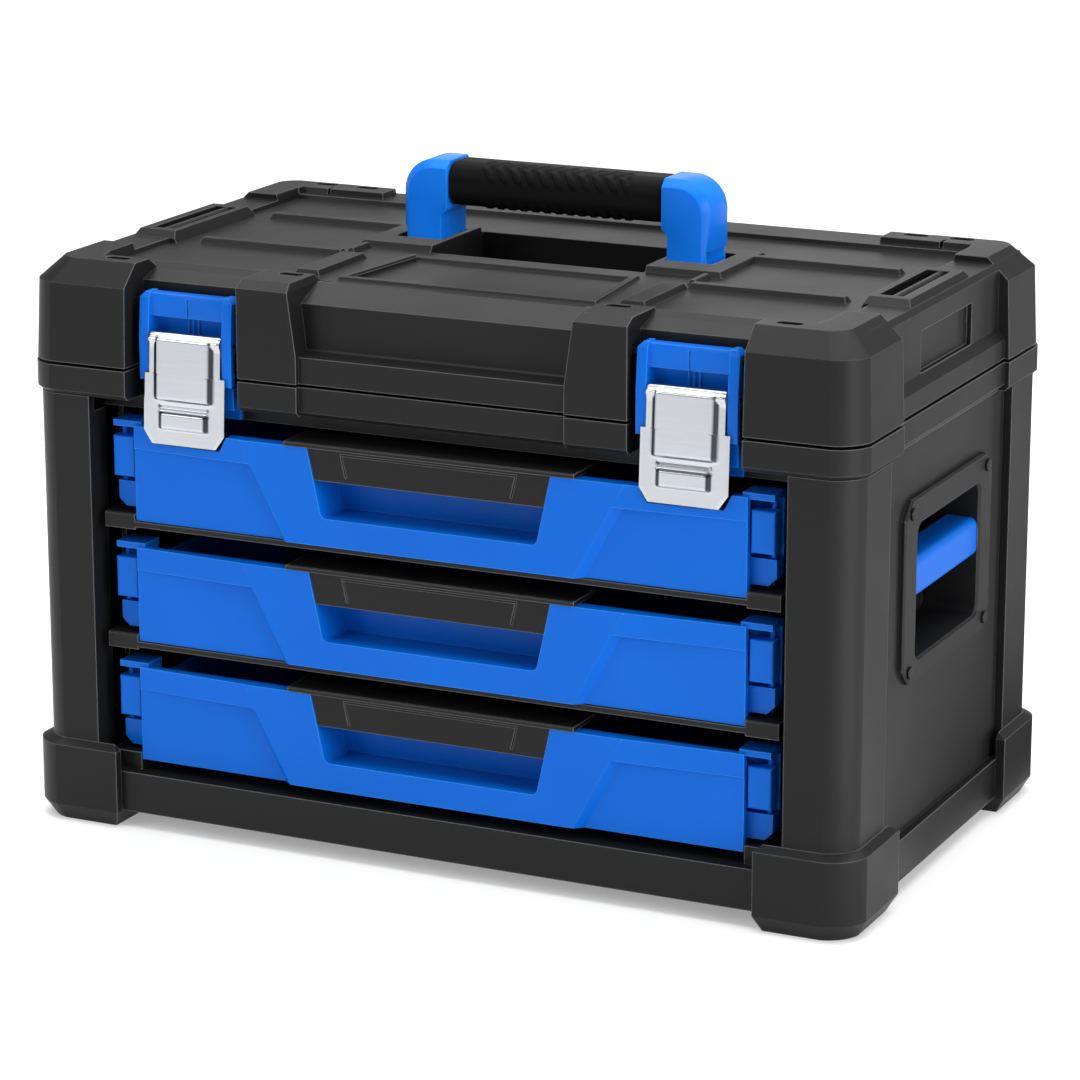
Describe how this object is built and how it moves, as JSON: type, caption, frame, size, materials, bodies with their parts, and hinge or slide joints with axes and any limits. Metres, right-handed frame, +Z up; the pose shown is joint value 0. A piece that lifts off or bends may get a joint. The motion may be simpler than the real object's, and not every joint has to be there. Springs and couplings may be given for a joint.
{
  "type": "portable tool box with drawers",
  "caption": "Portable tool box with a hinged latching lid over a tray, pull-out drawers below, a lift-up carrying handle and side grips.",
  "frame": {"origin": "middle of the footprint, on the floor under the feet", "axes": "+X towards the user's right, +Y towards the back, +Z up; the drawers open towards -Y"},
  "size_m": [0.505, 0.3034, 0.367],
  "materials": {
    "black_plastic": "fine moulded texture, satin",
    "blue_plastic": "smooth moulded, semi-gloss",
    "grip_rubber": "soft, textured",
    "latch_steel": "bright zinc, lightly brushed",
    "dark_steel": "black, satin"
  },
  "bodies": {
    "base": {"base_pan": "black_plastic", "rim_tray": "black_plastic", "back_panel": "black_plastic", "hinge_pins": "dark_steel", "shelf_1": "black_plastic", "shelf_2": "black_plastic", "foot_front_left": "black_plastic", "foot_front_right": "black_plastic", "foot_rear_left": "black_plastic", "foot_rear_right": "black_plastic", "post_front_left": "black_plastic", "post_front_right": "black_plastic", "post_rear_left": "black_plastic", "post_rear_right": "black_plastic", "side_panel_left": "black_plastic", "inner_liner_left": "black_plastic", "side_handle_cup_left": "black_plastic", "side_handle_bar_left": "blue_plastic", "side_handle_screws_left": "dark_steel", "latch_keeper_left": "blue_plastic", "side_panel_right": "black_plastic", "inner_liner_right": "black_plastic", "side_handle_cup_right": "black_plastic", "side_handle_bar_right": "blue_plastic", "side_handle_screws_right": "dark_steel", "latch_keeper_right": "blue_plastic"},
    "lid": {"lid": "black_plastic", "latch_yoke_pin_left": "dark_steel", "latch_yoke_pin_right": "dark_steel"},
    "latch_yoke_left": {"latch_yoke_left": "blue_plastic", "latch_lever_pin_left": "dark_steel"},
    "latch_lever_left": {"latch_lever_left": "latch_steel"},
    "latch_yoke_right": {"latch_yoke_right": "blue_plastic", "latch_lever_pin_right": "dark_steel"},
    "latch_lever_right": {"latch_lever_right": "latch_steel"},
    "handle": {"handle_arm_left": "blue_plastic", "handle_arm_right": "blue_plastic", "handle_core": "blue_plastic", "handle_grip": "grip_rubber"},
    "drawer_1": {"drawer_1_tray": "blue_plastic", "drawer_1_insert": "black_plastic"},
    "drawer_1_catch_left": {"drawer_1_catch_left": "blue_plastic"},
    "drawer_1_catch_right": {"drawer_1_catch_right": "blue_plastic"},
    "drawer_2": {"drawer_2_tray": "blue_plastic", "drawer_2_insert": "black_plastic"},
    "drawer_2_catch_left": {"drawer_2_catch_left": "blue_plastic"},
    "drawer_2_catch_right": {"drawer_2_catch_right": "blue_plastic"},
    "drawer_3": {"drawer_3_tray": "blue_plastic", "drawer_3_insert": "black_plastic"},
    "drawer_3_catch_left": {"drawer_3_catch_left": "blue_plastic"},
    "drawer_3_catch_right": {"drawer_3_catch_right": "blue_plastic"}
  },
  "joints": [
    {"name": "lid_hinge", "type": "hinge", "parent": "base", "child": "lid", "pos_m": [0, 0.1475, 0.26735], "axis": [-1, 0, 0], "range_deg": [0, 100]},
    {"name": "handle_slide", "type": "slide", "parent": "lid", "child": "handle", "axis": [0, 0, 1], "range_m": [-0.014, 0]},
    {"name": "latch_yoke_hinge_left", "type": "hinge", "parent": "lid", "child": "latch_yoke_left", "pos_m": [-0.1497, -0.13375, 0.3045], "axis": [-1, 0, 0], "range_deg": [0, 60]},
    {"name": "latch_lever_hinge_left", "type": "hinge", "parent": "latch_yoke_left", "child": "latch_lever_left", "pos_m": [-0.1497, -0.13685, 0.2845], "axis": [-1, 0, 0], "range_deg": [0, 100]},
    {"name": "latch_yoke_hinge_right", "type": "hinge", "parent": "lid", "child": "latch_yoke_right", "pos_m": [0.1497, -0.13375, 0.3045], "axis": [-1, 0, 0], "range_deg": [0, 60]},
    {"name": "latch_lever_hinge_right", "type": "hinge", "parent": "latch_yoke_right", "child": "latch_lever_right", "pos_m": [0.1497, -0.13685, 0.2845], "axis": [-1, 0, 0], "range_deg": [0, 100]},
    {"name": "drawer_1_slide", "type": "slide", "parent": "base", "child": "drawer_1", "axis": [0, -1, 0], "range_m": [0, 0.21]},
    {"name": "drawer_1_catch_hinge_left", "type": "hinge", "parent": "drawer_1", "child": "drawer_1_catch_left", "pos_m": [-0.1956, -0.12975, 0.2158], "axis": [0, 0, -1], "range_deg": [0, 8], "stiffness_Nm_per_rad": 0.02},
    {"name": "drawer_1_catch_hinge_right", "type": "hinge", "parent": "drawer_1", "child": "drawer_1_catch_right", "pos_m": [0.1956, -0.12975, 0.2158], "axis": [0, 0, 1], "range_deg": [0, 8], "stiffness_Nm_per_rad": 0.02},
    {"name": "drawer_2_slide", "type": "slide", "parent": "base", "child": "drawer_2", "axis": [0, -1, 0], "range_m": [0, 0.21]},
    {"name": "drawer_2_catch_hinge_left", "type": "hinge", "parent": "drawer_2", "child": "drawer_2_catch_left", "pos_m": [-0.1956, -0.12975, 0.1458], "axis": [0, 0, -1], "range_deg": [0, 8], "stiffness_Nm_per_rad": 0.02},
    {"name": "drawer_2_catch_hinge_right", "type": "hinge", "parent": "drawer_2", "child": "drawer_2_catch_right", "pos_m": [0.1956, -0.12975, 0.1458], "axis": [0, 0, 1], "range_deg": [0, 8], "stiffness_Nm_per_rad": 0.02},
    {"name": "drawer_3_slide", "type": "slide", "parent": "base", "child": "drawer_3", "axis": [0, -1, 0], "range_m": [0, 0.21]},
    {"name": "drawer_3_catch_hinge_left", "type": "hinge", "parent": "drawer_3", "child": "drawer_3_catch_left", "pos_m": [-0.1956, -0.12975, 0.0758], "axis": [0, 0, -1], "range_deg": [0, 8], "stiffness_Nm_per_rad": 0.02},
    {"name": "drawer_3_catch_hinge_right", "type": "hinge", "parent": "drawer_3", "child": "drawer_3_catch_right", "pos_m": [0.1956, -0.12975, 0.0758], "axis": [0, 0, 1], "range_deg": [0, 8], "stiffness_Nm_per_rad": 0.02}
  ]
}
